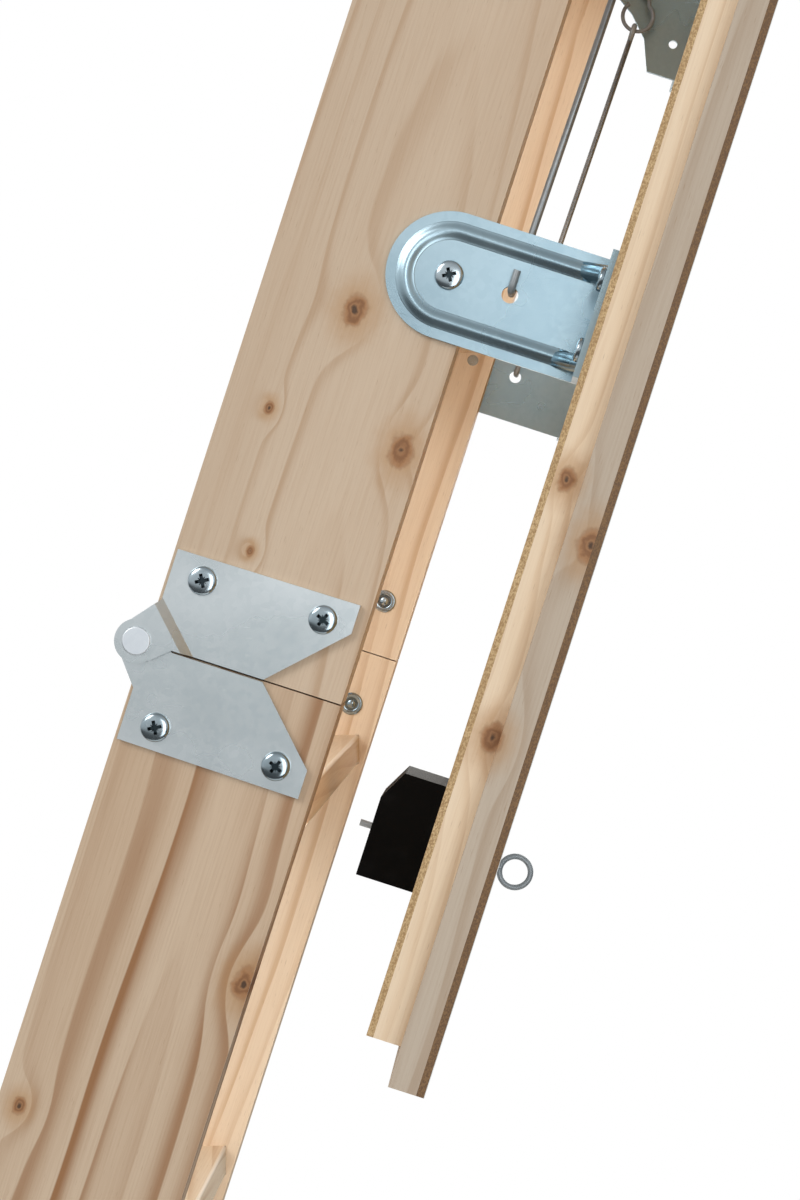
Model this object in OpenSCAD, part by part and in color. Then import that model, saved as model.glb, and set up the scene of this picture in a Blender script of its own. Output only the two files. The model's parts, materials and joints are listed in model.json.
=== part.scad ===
// Wooden attic ladder, three folding sections on an insulated hatch in a ceiling frame.
// Shown open and unfolded. The origin is the centre of the ceiling opening, on the ceiling
// plane; +X points to the hinged end of the frame and +Z up. Parts that swing with the hatch
// are drawn where they lie with the hatch shut, and opened() turns them down about its hinge.

/* [Ceiling frame] */
// Length of the frame outside
frame_len = 1200; // [1100:10:1400]
// Width of the frame outside
frame_wid = 600; // [560:10:700]
// Height of the frame boards
frame_high = 140; // [120:5:200]
// Thickness of the frame boards
board_t = 20; // [18:1:24]

/* [Hatch] */
// Angle of the open hatch below the ceiling
open_angle = 72.1; // [66:0.1:76]
// Thickness of the room-side fibreboard
room_skin_t = 3; // [2.5:0.5:4]
// Thickness of the attic-side fibreboard
attic_skin_t = 2.5; // [2.5:0.5:4]
// Thickness of each of the two pine layers
layer_t = 10.25; // [9:0.25:14]
// Step between the two pine layers, all round
rebate = 12; // [8:1:15]

/* [Ladder] */
// Width of the ladder over its stiles
ladder_wid = 380; // [360:5:420]
// Width of a stile, front to back
stile_wid = 80; // [75:1:90]
// Thickness of a stile
stile_t = 22; // [18:1:26]
// Distance from the hatch to the back of the stiles
stand_off = 49; // [45:1:60]
// Distance between treads along the stiles
tread_step = 239; // [230:1:245]
// Depth of a tread, front to back
tread_deep = 74; // [70:1:75]
// Thickness of a tread
tread_t = 16; // [14:1:18]
// Height of the room, floor to ceiling
room_high = 2800; // [2700:10:2850]

/* [Metalwork] */
// Thickness of the sheet steel
sheet_t = 2.5; // [2:0.5:3]
// Width of the stand-off brackets
bracket_wid = 50; // [46:1:56]
// Diameter of the tie rod wire
wire_d = 3; // [2.5:0.5:4]
// Diameter of the screw and bolt heads
head_d = 11.4; // [10:0.2:13]
// Length of the lift arm crank, hinge to frame pivot
crank_len = 90; // [80:1:95]

/* [Hidden] */
$fn = 48;
fine = 64;              // segments of small round parts
gap = 3;                // room between the hatch and the frame
clear = 0.3;            // room between curved faces of different bodies

// frame
fix_x = [-450, 450];    // fixing holes in the long boards
fix_z = [50, 110];
fix_y = [-150, 150];    // fixing holes in the end boards
fix_r = 4;
corner_z = [25, 70, 115];
corner_r = 2.2;
corner_head_r = 4.5;
corner_sink = 3;        // counterbore that hides a corner screw's head
batten_t = 10;
batten_z = [17, 37];

// hatch, shut
hatch_end = frame_len/2 - board_t - gap;
hatch_side = frame_wid/2 - board_t - gap;
inner_end = hatch_end - rebate;
inner_side = hatch_side - rebate;
z_layer2 = room_skin_t;
z_layer1 = z_layer2 + layer_t;
z_attic_skin = z_layer1 + layer_t;
attic_face = z_attic_skin + attic_skin_t;
rail_wid = 62;          // pine rails round the insulation
block_x = inner_end - rail_wid;

// hatch hinge axis, just below the gap at the hinged end
hinge_x = hatch_end + gap/2;
hinge_z = -6;
hinge_ys = [-190, 190];
barrel_r = 5;
hinge_pin_r = 2.5;
hinge_len = 60;
knuckles = 3;
knuckle_len = hinge_len/knuckles;
leaf_t = 2;
leaf_screw_ys = [10, hinge_len - 10];
leaf_screw_r = 2.15;
leaf_screw_len = 14;
fixed_screw_x = hinge_x + 14;
moving_screw_x = hinge_x - 22;

// ladder, in the shut hatch's frame: x falls towards the feet
back_z = attic_face + stand_off;
front_z = back_z + stile_wid;
side_y = ladder_wid/2;
section_len = 4*tread_step;
joint_1_x = -hatch_end + 113.5;
top_x = joint_1_x + section_len;
joint_2_x = joint_1_x - section_len;
butt_gap = 0.3;         // half the gap between sections that meet end to end
tread_drop = 45;        // from a section's upper end to its first tread, at the back
tread_inset = 7.3;      // from the back of a stile to a tread
housing = 8;            // how far a tread's end enters the stile
cap_high = 3;           // sole of a foot cap

// the feet reach the floor
foot_x = hinge_x - (room_high + hinge_z
         + (back_z - hinge_z)*cos(open_angle))/sin(open_angle);

// fold hinges: pins stand just outside the face of the stiles
pin_out = 2.4;
pin_1_z = front_z + pin_out;
pin_2_z = back_z - pin_out;
knuckle_r = 8.7;
pin_r = 4;
screw_dx = 29.8;        // from the joint to a hinge plate's screws
screw_z = [14.5, 63.5]; // from the edge of the stile next to the pin
bolt_r = 3;
// outlines above the joint: [along the stile, in from the stile's edge]
plate_pts = [[38.6, 1.5], [39.4, 75.5], [27.8, 75.5], [0.5, 48.5], [0.5, 1.5]];
arm_pts = [[-7.2, -7.2], [7.4, -7], [18.5, 2], [13, 26], [0.5, 20], [0.5, 11.6], [-5.8, 4.6]];
joggle_at = [9.5, 11];  // on the bend that lifts the knuckle, from the joint and from the edge
joggle_wid = 3.4;

// stand-off brackets and lift arms
bracket_x = joint_1_x + 171.7;
bracket_hole = 35.4;    // from the hatch to the tie rod's hole
rod_x = bracket_x + 1.6; // pulled against the upper side of its hole
bracket_bolt = 60;      // from the hatch to the stile's screw
flange_wid = 32;
flange_screw_y = side_y + sheet_t + 20;
flange_screw_r = 2.5;
flange_screw_len = 18;
bracket_high = 84.8;
bead_high = 1.2;
upper_pts = [[-105, 0], [-105, 18], [-88, 25], [-76.5, 36], [-70, 46], [-66, 74], [-54, 86],
             [86, 86], [98, 72], [102, 0]];
upper_screw_x = [-92, -32, 32, 88];
gusset_x = [-60, 0, 60];
wood_screw_x = [for (d = [-14, 14]) bracket_x + d];
stand_off_screws = [[bracket_x, attic_face + bracket_bolt],
                    [-18, attic_face + 72], [66, attic_face + 72]];
arm_t = 4;
arm_wid = 24;
arm_gap = 1.3;
link_y = side_y + sheet_t + arm_gap;
lever_y = link_y + arm_t + arm_gap;
post_y = lever_y + arm_t + arm_gap;
post_wid = 50;
post_screw_z = [-15, 15];
post_screw_y = post_y + sheet_t + 16;
post_screw_r = 2.55;
post_screw_len = 18;
half_open = open_angle/2;
pivot_1 = [hinge_x - crank_len*sin(half_open), hinge_z + crank_len*cos(half_open)];
pivot_2 = [20, 92];
reach = [pivot_2[0] - hinge_x, pivot_2[1] - hinge_z];
pivot_r = 4;
// the frame pivot as the open hatch sees it
seen_1 = [hinge_x + crank_len*sin(half_open), hinge_z + crank_len*cos(half_open)];
knee = [seen_1[0] + reach[0], seen_1[1] + reach[1]];
spring_eye = [470, 50];
hook_x = bracket_x + 204;
spring_y = side_y - 9;
spring_z = attic_face + 32;
spring_r = 7.5;
spring_wire = 2.2;
rod_eye_r = 4;
hook_r = 8.5;
hold = 0.1;             // room between hooked wires

// lock
lock_x0 = -hatch_end + 25;
lock_x1 = lock_x0 + 52;
lock_wid = 38;
lock_high = 28.5;
lock_wall = 2;
spindle_x = -hatch_end + 46.3;
spindle_r = 1.6;
eye_r = 7.4;
eye_wire = 1.35;
eye_z = -16.7;
boss_r = 5;
boss_z = attic_face + 11.5;
latch_z = [attic_face + 4.5, attic_face + 9.5];
latch_travel = 5;
collar_z = attic_face + 20;
lock_screw_xs = [lock_x0 + 10, lock_x1 - 9];
lock_screw_y = 13;
lock_screw_r = 1.75;
lock_screw_len = 15;
striker_screw_z = [72, 90];
striker_screw_r = 2.25;
striker_screw_len = 16;

// ---------- placing ----------

// From the shut hatch's frame to the open one
module opened() {
    translate([hinge_x, 0, hinge_z]) rotate([0, -open_angle, 0])
        translate([-hinge_x, 0, -hinge_z]) children();
}

// A box from its lowest corner to its highest
module block(low, high) {
    translate(low) cube(high - low);
}

// A flat outline in x and z, as a plate from depth y0 to y1
module plate(y0, y1) {
    translate([0, y1, 0]) rotate([90, 0, 0]) linear_extrude(y1 - y0) children();
}

// The same piece on the near side, or mirrored on the far side
module on_side(far) {
    if (far) mirror([0, 1, 0]) children();
    else children();
}

module both_sides() {
    on_side(false) children();
    on_side(true) children();
}

// A round bar along y
module bar_y(x, z, r, y0, y1) {
    translate([x, y1, z]) rotate([90, 0, 0]) cylinder(r = r, h = y1 - y0, $fn = fine);
}

// A round bar along z
module bar_z(x, y, r, z0, z1) {
    translate([x, y, z0]) cylinder(r = r, h = z1 - z0, $fn = fine);
}

// A round bar along x
module bar_x(y, z, r, x0, x1) {
    translate([x0, y, z]) rotate([0, 90, 0]) cylinder(r = r, h = x1 - x0, $fn = fine);
}

// A screw along -z whose low domed head rests on z = 0, with a cross recess
module screw(shank_r, shank_len, head_r) {
    head_high = head_r*0.5;
    difference() {
        union() {
            translate([0, 0, -shank_len]) cylinder(r = shank_r, h = shank_len + 0.01);
            cylinder(r = head_r, h = head_high*0.45, $fn = fine);
            translate([0, 0, head_high*0.45 - 0.01])
                cylinder(r1 = head_r, r2 = head_r*0.62, h = head_high*0.55, $fn = fine);
        }
        for (turn = [0, 90]) rotate(turn)
            translate([-head_r*0.5, -head_r*0.09, head_high*0.4])
                cube([head_r, head_r*0.18, head_high]);
    }
}

// A screw driven into the near face of something at y
module screw_from_near(x, y, z, shank_r, shank_len, head_r = head_d/2) {
    translate([x, y, z]) rotate([90, 0, 0]) screw(shank_r, shank_len, head_r);
}

// ---------- ceiling frame ----------

module frame_side() {
    y0 = -frame_wid/2;
    difference() {
        block([-frame_len/2, y0, 0], [frame_len/2, y0 + board_t, frame_high]);
        for (x = fix_x, z = fix_z) bar_y(x, z, fix_r, y0 - 1, y0 + board_t + 1);
        for (end = [-1, 1], z = corner_z) {
            bar_y(end*(frame_len/2 - board_t/2), z, corner_r, y0 - 1, y0 + board_t + 1);
            bar_y(end*(frame_len/2 - board_t/2), z, corner_head_r + 0.3, y0 - 1, y0 + corner_sink);
        }
    }
}

module frame_side_near() { color("burlywood") frame_side(); }
module frame_side_far() { color("burlywood") on_side(true) frame_side(); }

module frame_end_board() {
    x0 = frame_len/2 - board_t;
    y0 = frame_wid/2 - board_t;
    difference() {
        block([x0, -y0, 0], [frame_len/2, y0, frame_high]);
        for (y = fix_y) bar_x(y, frame_high/2, fix_r, x0 - 1, frame_len/2 + 1);
        for (side = [-1, 1], z = corner_z)
            bar_y(frame_len/2 - board_t/2, z, corner_r,
                  min(side*y0, side*(y0 - 32)), max(side*y0, side*(y0 - 32)));
    }
}

module frame_end_hinged() {
    x0 = frame_len/2 - board_t;
    color("burlywood") difference() {
        frame_end_board();
        each_hatch_hinge() for (y = leaf_screw_ys)
            bar_z(fixed_screw_x, y, leaf_screw_r + 0.05, -1, leaf_screw_len);
        for (side = [-1, 1], z = post_screw_z)
            bar_x(side*post_screw_y, pivot_1[1] + z, post_screw_r + 0.05,
                  x0 - 1, x0 + post_screw_len);
    }
}
module frame_end_lock() {
    color("burlywood") mirror([1, 0, 0]) difference() {
        frame_end_board();
        for (z = striker_screw_z)
            bar_x(0, z, striker_screw_r + 0.05, frame_len/2 - board_t - 1,
                  frame_len/2 - board_t + striker_screw_len);
    }
}

module frame_corner_screws() {
    color("silver") both_sides() for (end = [-1, 1], z = corner_z)
        screw_from_near(end*(frame_len/2 - board_t/2), -frame_wid/2 + corner_sink, z,
                        corner_r - 0.05, 45, corner_head_r);
}

module batten_ring(z0, z1, t) {
    ex = frame_len/2 - board_t;
    ey = frame_wid/2 - board_t;
    for (s = [-1, 1]) {
        block([-ex, min(s*ey, s*(ey - t)), z0], [ex, max(s*ey, s*(ey - t)), z1]);
        block([min(s*ex, s*(ex - t)), -ey + t, z0], [max(s*ex, s*(ex - t)), ey - t, z1]);
    }
}

module stop_battens() { color("wheat") batten_ring(batten_z[0], batten_z[1], batten_t); }

module frame_seal() { color("dimgray") batten_ring(z_layer1 + 0.4, batten_z[0], batten_t - 1); }

// Sheet bracket with a round nose: x along its length from the flange, y across it
module nose_outline(long, wid) {
    union() {
        translate([0, -wid/2]) square([long - wid/2, wid]);
        translate([long - wid/2, 0]) circle(r = wid/2, $fn = fine);
    }
}

// The raised bead that follows a round-nosed outline
module bead_outline(long, wid, inset, bead) {
    difference() {
        nose_outline(long - inset, wid - 2*inset);
        translate([-1, 0]) nose_outline(long - inset - bead + 1, wid - 2*(inset + bead));
    }
}

module arm_post() {
    x_board = frame_len/2 - board_t;
    y_plate = -post_y - sheet_t;
    difference() {
        union() {
            translate([x_board, 0, pivot_1[1]]) rotate([0, 180, 0])
                plate(y_plate, y_plate + sheet_t)
                    nose_outline(x_board - pivot_1[0] + post_wid/2, post_wid);
            block([x_board - sheet_t, y_plate - 28, pivot_1[1] - post_wid/2],
                  [x_board, y_plate + 0.01, pivot_1[1] + post_wid/2]);
            // pivot stud, with a shoulder outside and a keeper behind the lever
            bar_y(pivot_1[0], pivot_1[1], pivot_r, y_plate - 2, -lever_y + 3);
            bar_y(pivot_1[0], pivot_1[1], 6.5, y_plate - 2, y_plate + 0.01);
            bar_y(pivot_1[0], pivot_1[1], 6.5, -lever_y + clear, -lever_y + 3);
        }
        for (z = post_screw_z)
            bar_x(-post_screw_y, pivot_1[1] + z, post_screw_r + 0.05, x_board - 5, x_board + 1);
    }
}

module arm_post_near() { color("lightsteelblue") arm_post(); }
module arm_post_far() { color("lightsteelblue") on_side(true) arm_post(); }

module arm_post_screws() {
    x_board = frame_len/2 - board_t;
    color("silver") both_sides() for (z = post_screw_z)
        translate([x_board - sheet_t, -post_screw_y, pivot_1[1] + z])
            rotate([0, -90, 0]) screw(post_screw_r, post_screw_len, 4.8);
}

// Plate on the lock board, with a hook whose window takes the latch
module striker() {
    x_board = -frame_len/2 + board_t;
    x_hook = lock_x0 + 2.5;
    color("lightsteelblue") difference() {
        union() {
            block([x_board, -15, 60], [x_board + sheet_t, 15, 100]);
            block([x_board, -8, 60], [x_hook + sheet_t, 8, 60 + sheet_t]);
            block([x_hook, -8, attic_face + 3], [x_hook + sheet_t, 8, 60.01]);
        }
        for (z = striker_screw_z) bar_x(0, z, striker_screw_r + 0.05, x_board - 1, x_board + 5);
        block([x_hook - 1, -5, latch_z[0] - 0.5], [x_hook + 4, 5, latch_z[1] + 0.5]);
    }
}

module striker_screws() {
    color("silver") for (z = striker_screw_z)
        translate([-frame_len/2 + board_t + sheet_t, 0, z])
            rotate([0, 90, 0]) screw(striker_screw_r, striker_screw_len, 4.2);
}

// ---------- hatch hinges ----------

module leaf_barrels(odd) {
    for (i = [0:knuckles - 1]) if (i % 2 == odd)
        bar_y(hinge_x, hinge_z, barrel_r, i*knuckle_len + clear/2, (i + 1)*knuckle_len - clear/2);
}

module fixed_leaf() {
    difference() {
        union() {
            block([hinge_x + 3, 0, -leaf_t], [frame_len/2 - 1, hinge_len, 0]);
            for (i = [0, 2])
                block([hinge_x, i*knuckle_len + clear/2, hinge_z],
                      [hinge_x + barrel_r, (i + 1)*knuckle_len - clear/2, 0]);
            leaf_barrels(0);
        }
        bar_y(hinge_x, hinge_z, hinge_pin_r + 0.05, -1, hinge_len + 1);
        block([hinge_x - barrel_r - 1, knuckle_len - clear/2, hinge_z - barrel_r - 1],
              [hinge_x + barrel_r + 1, 2*knuckle_len + clear/2, 1]);
        for (y = leaf_screw_ys) bar_z(fixed_screw_x, y, leaf_screw_r + 0.05, -5, 1);
    }
}

module moving_leaf() {
    difference() {
        union() {
            block([hinge_x - 32, 0, -leaf_t], [hinge_x - barrel_r - 1, hinge_len, 0]);
            block([hinge_x - barrel_r - 2, knuckle_len + clear/2, -leaf_t],
                  [hinge_x - 1.6, 2*knuckle_len - clear/2, 0]);
            leaf_barrels(1);
            block([hinge_x - barrel_r, knuckle_len + clear/2, hinge_z],
                  [hinge_x - 1.6, 2*knuckle_len - clear/2, -0.01]);
        }
        bar_y(hinge_x, hinge_z, hinge_pin_r + 0.05, -1, hinge_len + 1);
        for (y = leaf_screw_ys) bar_z(moving_screw_x, y, leaf_screw_r + 0.05, -5, 1);
    }
}

module each_hatch_hinge() {
    for (y = hinge_ys) translate([0, y - hinge_len/2, 0]) children();
}

module hatch_hinge_fixed_leaves() {
    color("silver") each_hatch_hinge() fixed_leaf();
}

module hatch_hinge_moving_leaves() {
    color("silver") opened() each_hatch_hinge() moving_leaf();
}

module hatch_hinge_pins() {
    color("gray") each_hatch_hinge() union() {
        bar_y(hinge_x, hinge_z, hinge_pin_r, -1.2, hinge_len + 1.2);
        bar_y(hinge_x, hinge_z, 3.8, -1.6, -clear);
        bar_y(hinge_x, hinge_z, 3.8, hinge_len + clear, hinge_len + 1.6);
    }
}

module leaf_screws(x) {
    each_hatch_hinge() for (y = leaf_screw_ys)
        translate([x, y, -leaf_t]) rotate([180, 0, 0]) screw(leaf_screw_r, leaf_screw_len, 4);
}

module hinge_frame_screws() { color("silver") leaf_screws(fixed_screw_x); }
module hinge_hatch_screws() { color("silver") opened() leaf_screws(moving_screw_x); }

// ---------- hatch panel ----------

module rails(end, side, z0, z1, wid) {
    for (s = [-1, 1]) {
        block([-end, min(s*side, s*(side - wid)), z0], [end, max(s*side, s*(side - wid)), z1]);
        block([min(s*end, s*(end - wid)), -side + wid, z0],
              [max(s*end, s*(end - wid)), side - wid, z1]);
    }
}

// Holes through the hatch for the pull eye's spindle and for every screw that holds in it
module hatch_holes() {
    bar_z(spindle_x, 0, spindle_r + 1.4, -5, attic_face + 5);
    for (side = [-1, 1], x = concat(wood_screw_x, upper_screw_x))
        bar_z(x, side*flange_screw_y, flange_screw_r + 0.05,
              attic_face + sheet_t - flange_screw_len, attic_face + 5);
    for (side = [-1, 1], x = lock_screw_xs)
        bar_z(x, side*lock_screw_y, lock_screw_r + 0.05,
              attic_face + sheet_t - lock_screw_len, attic_face + 5);
    each_hatch_hinge() for (y = leaf_screw_ys)
        bar_z(moving_screw_x, y, leaf_screw_r + 0.05, -5, leaf_screw_len - leaf_t);
}

module hatch_outer_rails() {
    color("burlywood") opened() difference() {
        rails(hatch_end, hatch_side, z_layer2, z_layer1, rail_wid + rebate);
        hatch_holes();
    }
}

module hatch_inner_rails() {
    color("burlywood") opened() difference() {
        rails(inner_end, inner_side, z_layer1, z_attic_skin, rail_wid);
        hatch_holes();
    }
}

module hatch_insulation() {
    y = inner_side - rail_wid;
    color("white") opened() block([-block_x, -y, z_layer2], [block_x, y, z_attic_skin]);
}

module hatch_attic_board() {
    color("peru") opened() difference() {
        block([-inner_end, -inner_side, z_attic_skin], [inner_end, inner_side, attic_face]);
        hatch_holes();
    }
}

module hatch_room_board() {
    color("sienna") opened() difference() {
        block([-hatch_end, -hatch_side, 0], [hatch_end, hatch_side, room_skin_t]);
        hatch_holes();
    }
}

// ---------- ladder timber ----------

// Treads are level with the hatch open, so they lean in the shut hatch's frame
module tread_at(x, grow = 0, reach_y = side_y - stile_t + housing) {
    translate([x, 0, back_z + tread_inset]) rotate([0, open_angle, 0])
        translate([-tread_deep, -reach_y, -tread_t])
            cube([tread_deep + grow, 2*reach_y, tread_t]);
}

// Back top edges of the treads below a section's upper end
function tread_xs(upper_x, count) = [for (i = [0:count - 1]) upper_x - tread_drop - i*tread_step];

module stile(x0, x1, treads, holes) {
    difference() {
        block([x0, -side_y, back_z], [x1, -side_y + stile_t, front_z]);
        for (x = treads) tread_at(x);
        for (h = holes) bar_y(h[0], h[1], bolt_r + 0.05, -side_y - 1, -side_y + stile_t + 1);
    }
}

upper_xs = tread_xs(top_x, 4);
middle_xs = tread_xs(joint_1_x, 4);
lower_xs = tread_xs(joint_2_x, 4);

// Bolt positions of the fold hinges, above and below a joint
function bolts_1(side) = [for (z = screw_z) [joint_1_x + side*screw_dx, front_z - z]];
function bolts_2(side) = [for (z = screw_z) [joint_2_x + side*screw_dx, back_z + z]];
module upper_stile() {
    stile(joint_1_x + butt_gap, top_x, upper_xs, concat(bolts_1(1), stand_off_screws));
}
module middle_stile() {
    stile(joint_2_x + butt_gap, joint_1_x - butt_gap, middle_xs,
          concat(bolts_1(-1), bolts_2(1)));
}
// The foot is cut level with the floor, above the cap's sole
module lower_stile() {
    difference() {
        stile(foot_x - 60, joint_2_x - butt_gap, lower_xs, bolts_2(-1));
        floor_cut(cap_high);
    }
}

// Everything below a plane raised by some height above the floor
module floor_cut(raise) {
    translate([foot_x, 0, back_z]) rotate([0, open_angle, 0])
        translate([-250, -ladder_wid, -200 + raise]) cube([500, 2*ladder_wid, 200]);
}

module upper_stile_near() { color("burlywood") opened() upper_stile(); }
module upper_stile_far() { color("burlywood") opened() on_side(true) upper_stile(); }
module middle_stile_near() { color("burlywood") opened() middle_stile(); }
module middle_stile_far() { color("burlywood") opened() on_side(true) middle_stile(); }
module lower_stile_near() { color("burlywood") opened() lower_stile(); }
module lower_stile_far() { color("burlywood") opened() on_side(true) lower_stile(); }
module upper_treads() { color("wheat") opened() for (x = upper_xs) tread_at(x); }
module middle_treads() { color("wheat") opened() for (x = middle_xs) tread_at(x); }
module lower_treads() { color("wheat") opened() for (x = lower_xs) tread_at(x); }

// Shoes round the ends of the lower stiles
module foot_caps() {
    wall = 2;
    color("dimgray") opened() both_sides() difference() {
        intersection() {
            block([foot_x - 60, -side_y - wall, back_z - wall],
                  [foot_x + 60, -side_y + stile_t + wall, front_z + wall]);
            translate([foot_x, 0, back_z]) rotate([0, open_angle, 0])
                translate([-250, -ladder_wid, 0]) cube([500, ladder_wid, 32]);
        }
        difference() {
            block([foot_x - 100, -side_y, back_z],
                  [foot_x + 100, -side_y + stile_t, front_z]);
            floor_cut(cap_high);
        }
    }
}

// ---------- fold hinges ----------

// z of a point so far in from the edge that carries the pin; joint 2 has it at the back
function in_z(fold, z) = fold == 1 ? front_z - z : back_z + z;
function pin_z(fold) = fold == 1 ? pin_1_z : pin_2_z;
function joint_x(fold) = fold == 1 ? joint_1_x : joint_2_x;

// side is 1 for the plate above the joint and -1 for the one below
module plate_outline(fold, side) {
    polygon([for (p = plate_pts) [joint_x(fold) + side*p[0], in_z(fold, p[1])]]);
}

// The arm that carries the knuckle, from the plate to the pin
module arm_outline(fold, side) {
    polygon([for (p = arm_pts) [joint_x(fold) + side*p[0], in_z(fold, p[1])]]);
}

module fold_outline(fold, side) {
    plate_outline(fold, side);
    arm_outline(fold, side);
    translate([joint_x(fold), pin_z(fold)]) circle(r = knuckle_r, $fn = fine);
}

// A wide sheet on the stile, bent up past a line at 45 degrees to clear the plate below
module joggled_sheet(fold) {
    reach = 80;
    lift = sheet_t + clear;
    translate([joint_x(fold) + joggle_at[0], -side_y, in_z(fold, joggle_at[1])])
        rotate([0, fold == 1 ? -135 : 135, 0]) linear_extrude(2*reach, center = true)
            polygon([[-reach, 0], [-reach, -sheet_t], [0, -sheet_t],
                     [joggle_wid, -sheet_t - lift], [reach, -sheet_t - lift],
                     [reach, -lift], [joggle_wid, -lift], [0, 0]]);
}

// Lower plates lie on the stile; the knuckles of the upper ones step out over them
module fold_plate(fold, side) {
    difference() {
        if (side > 0) intersection() {
            plate(-side_y - 4*sheet_t, -side_y + 1) fold_outline(fold, side);
            joggled_sheet(fold);
        }
        else plate(-side_y - sheet_t, -side_y) fold_outline(fold, side);
        bar_y(joint_x(fold), pin_z(fold), pin_r + (side > 0 ? 0 : 0.05),
              -side_y - 20, -side_y + 1);
        for (z = screw_z)
            bar_y(joint_x(fold) + side*screw_dx, in_z(fold, z), bolt_r + 0.05,
                  -side_y - 20, -side_y + 1);
    }
}

module fold_1_upper_plates() { color("lightsteelblue") opened() both_sides() fold_plate(1, 1); }
module fold_1_lower_plates() { color("lightsteelblue") opened() both_sides() fold_plate(1, -1); }
module fold_2_upper_plates() { color("lightsteelblue") opened() both_sides() fold_plate(2, 1); }
module fold_2_lower_plates() { color("lightsteelblue") opened() both_sides() fold_plate(2, -1); }

// Rivets pressed into the upper plates, running in the lower ones
module fold_pin(fold) {
    y_out = -side_y - 2*sheet_t - clear;
    bar_y(joint_x(fold), pin_z(fold), pin_r, y_out - 0.01, -side_y);
    bar_y(joint_x(fold), pin_z(fold), 5.5, y_out - 1.6, y_out);
}

module fold_1_pins() { color("gainsboro") opened() both_sides() fold_pin(1); }
module fold_2_pins() { color("gainsboro") opened() both_sides() fold_pin(2); }

// A bolt through the plate and the stile, with its washer and nut inside
module through_bolt(x, z) {
    washer_t = 1;
    nut_t = 4.5;
    screw_from_near(x, -side_y - sheet_t, z, bolt_r, sheet_t + stile_t + washer_t + nut_t + 2);
    translate([x, -side_y + stile_t, z]) rotate([-90, 0, 0]) {
        cylinder(r = 6.4, h = washer_t, $fn = fine);
        cylinder(r = 5.6, h = washer_t + nut_t, $fn = 6);
    }
}

module bolt_set(points) {
    for (p = points) through_bolt(p[0], p[1]);
}

module upper_bolts() { color("silver") opened() both_sides() bolt_set(bolts_1(1)); }

module middle_bolts() {
    color("silver") opened() both_sides() bolt_set(concat(bolts_1(-1), bolts_2(1)));
}

module lower_bolts() { color("silver") opened() both_sides() bolt_set(bolts_2(-1)); }

// Wood screws of the stand-off brackets, in the upper stiles
module stand_off_wood_screws() {
    color("silver") opened() both_sides() for (p = stand_off_screws)
        screw_from_near(p[0], -side_y - sheet_t, p[1], bolt_r, sheet_t + stile_t - 2);
}

// ---------- stand-off brackets ----------

// Pressed stiffener across the bend between a bracket's plate and its flange
module gusset(x) {
    corner = [x, -side_y - sheet_t - 3.5, attic_face + sheet_t + 3.5];
    intersection() {
        translate(corner) rotate([-45, 0, 0]) translate([0, 0, -9]) cylinder(r = 3.6, h = 18);
        block([x - 5, -side_y - flange_wid, attic_face + 0.5],
              [x + 5, -side_y - 0.5, attic_face + bracket_high]);
    }
}

module flange(x0, x1) {
    block([x0, -side_y - flange_wid, attic_face], [x1, -side_y - 0.01, attic_face + sheet_t]);
}

// Round holes through a bracket's plate, and its flange's screw holes
module bracket_holes(points, r, screw_xs) {
    for (p = points) bar_y(p[0], p[1], r, -side_y - 10, -side_y + 1);
    for (x = screw_xs)
        bar_z(x, -flange_screw_y, flange_screw_r + 0.1, attic_face - 1, attic_face + 5);
}

module lower_bracket() {
    difference() {
        union() {
            plate(-side_y - sheet_t, -side_y) translate([bracket_x, attic_face]) rotate(90)
                nose_outline(bracket_high, bracket_wid);
            plate(-side_y - sheet_t - bead_high, -side_y - sheet_t + 0.01)
                translate([bracket_x, attic_face + sheet_t]) rotate(90)
                    bead_outline(bracket_high - sheet_t, bracket_wid, 4.5, 6);
            flange(bracket_x - bracket_wid/2, bracket_x + bracket_wid/2);
            for (side = [-1, 1]) gusset(bracket_x + side*18);
        }
        bracket_holes([[bracket_x, attic_face + bracket_hole]], 3.3, wood_screw_x);
        bracket_holes([stand_off_screws[0]], bolt_r + 0.05, []);
    }
}

module upper_bracket() {
    difference() {
        union() {
            plate(-side_y - sheet_t, -side_y)
                polygon([for (p = upper_pts) [p[0], attic_face + p[1]]]);
            flange(upper_pts[0][0], upper_pts[len(upper_pts) - 1][0]);
            for (x = gusset_x) gusset(x);
            // pivot stud of the link, between a shoulder and a keeper
            bar_y(pivot_2[0], pivot_2[1], pivot_r, -link_y - arm_t - 0.9, -side_y - 0.01);
            bar_y(pivot_2[0], pivot_2[1], 7, -link_y + clear, -side_y - 0.01);
            bar_y(pivot_2[0], pivot_2[1], 6, -link_y - arm_t - 0.9, -link_y - arm_t - clear);
        }
        bracket_holes([stand_off_screws[1], stand_off_screws[2]], bolt_r + 0.05, upper_screw_x);
        bracket_holes([[-86, attic_face + 8.5], [50, attic_face + 22]], 2.4, []);
    }
}

module lower_bracket_near() { color("lightsteelblue") opened() lower_bracket(); }
module lower_bracket_far() { color("lightsteelblue") opened() on_side(true) lower_bracket(); }
module upper_bracket_near() { color("lightsteelblue") opened() upper_bracket(); }
module upper_bracket_far() { color("lightsteelblue") opened() on_side(true) upper_bracket(); }

module bracket_screws() {
    color("silver") opened() both_sides() for (x = concat(wood_screw_x, upper_screw_x))
        translate([x, -flange_screw_y, attic_face + sheet_t])
            screw(flange_screw_r, flange_screw_len, 4.8);
}

// ---------- counterbalance ----------

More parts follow.
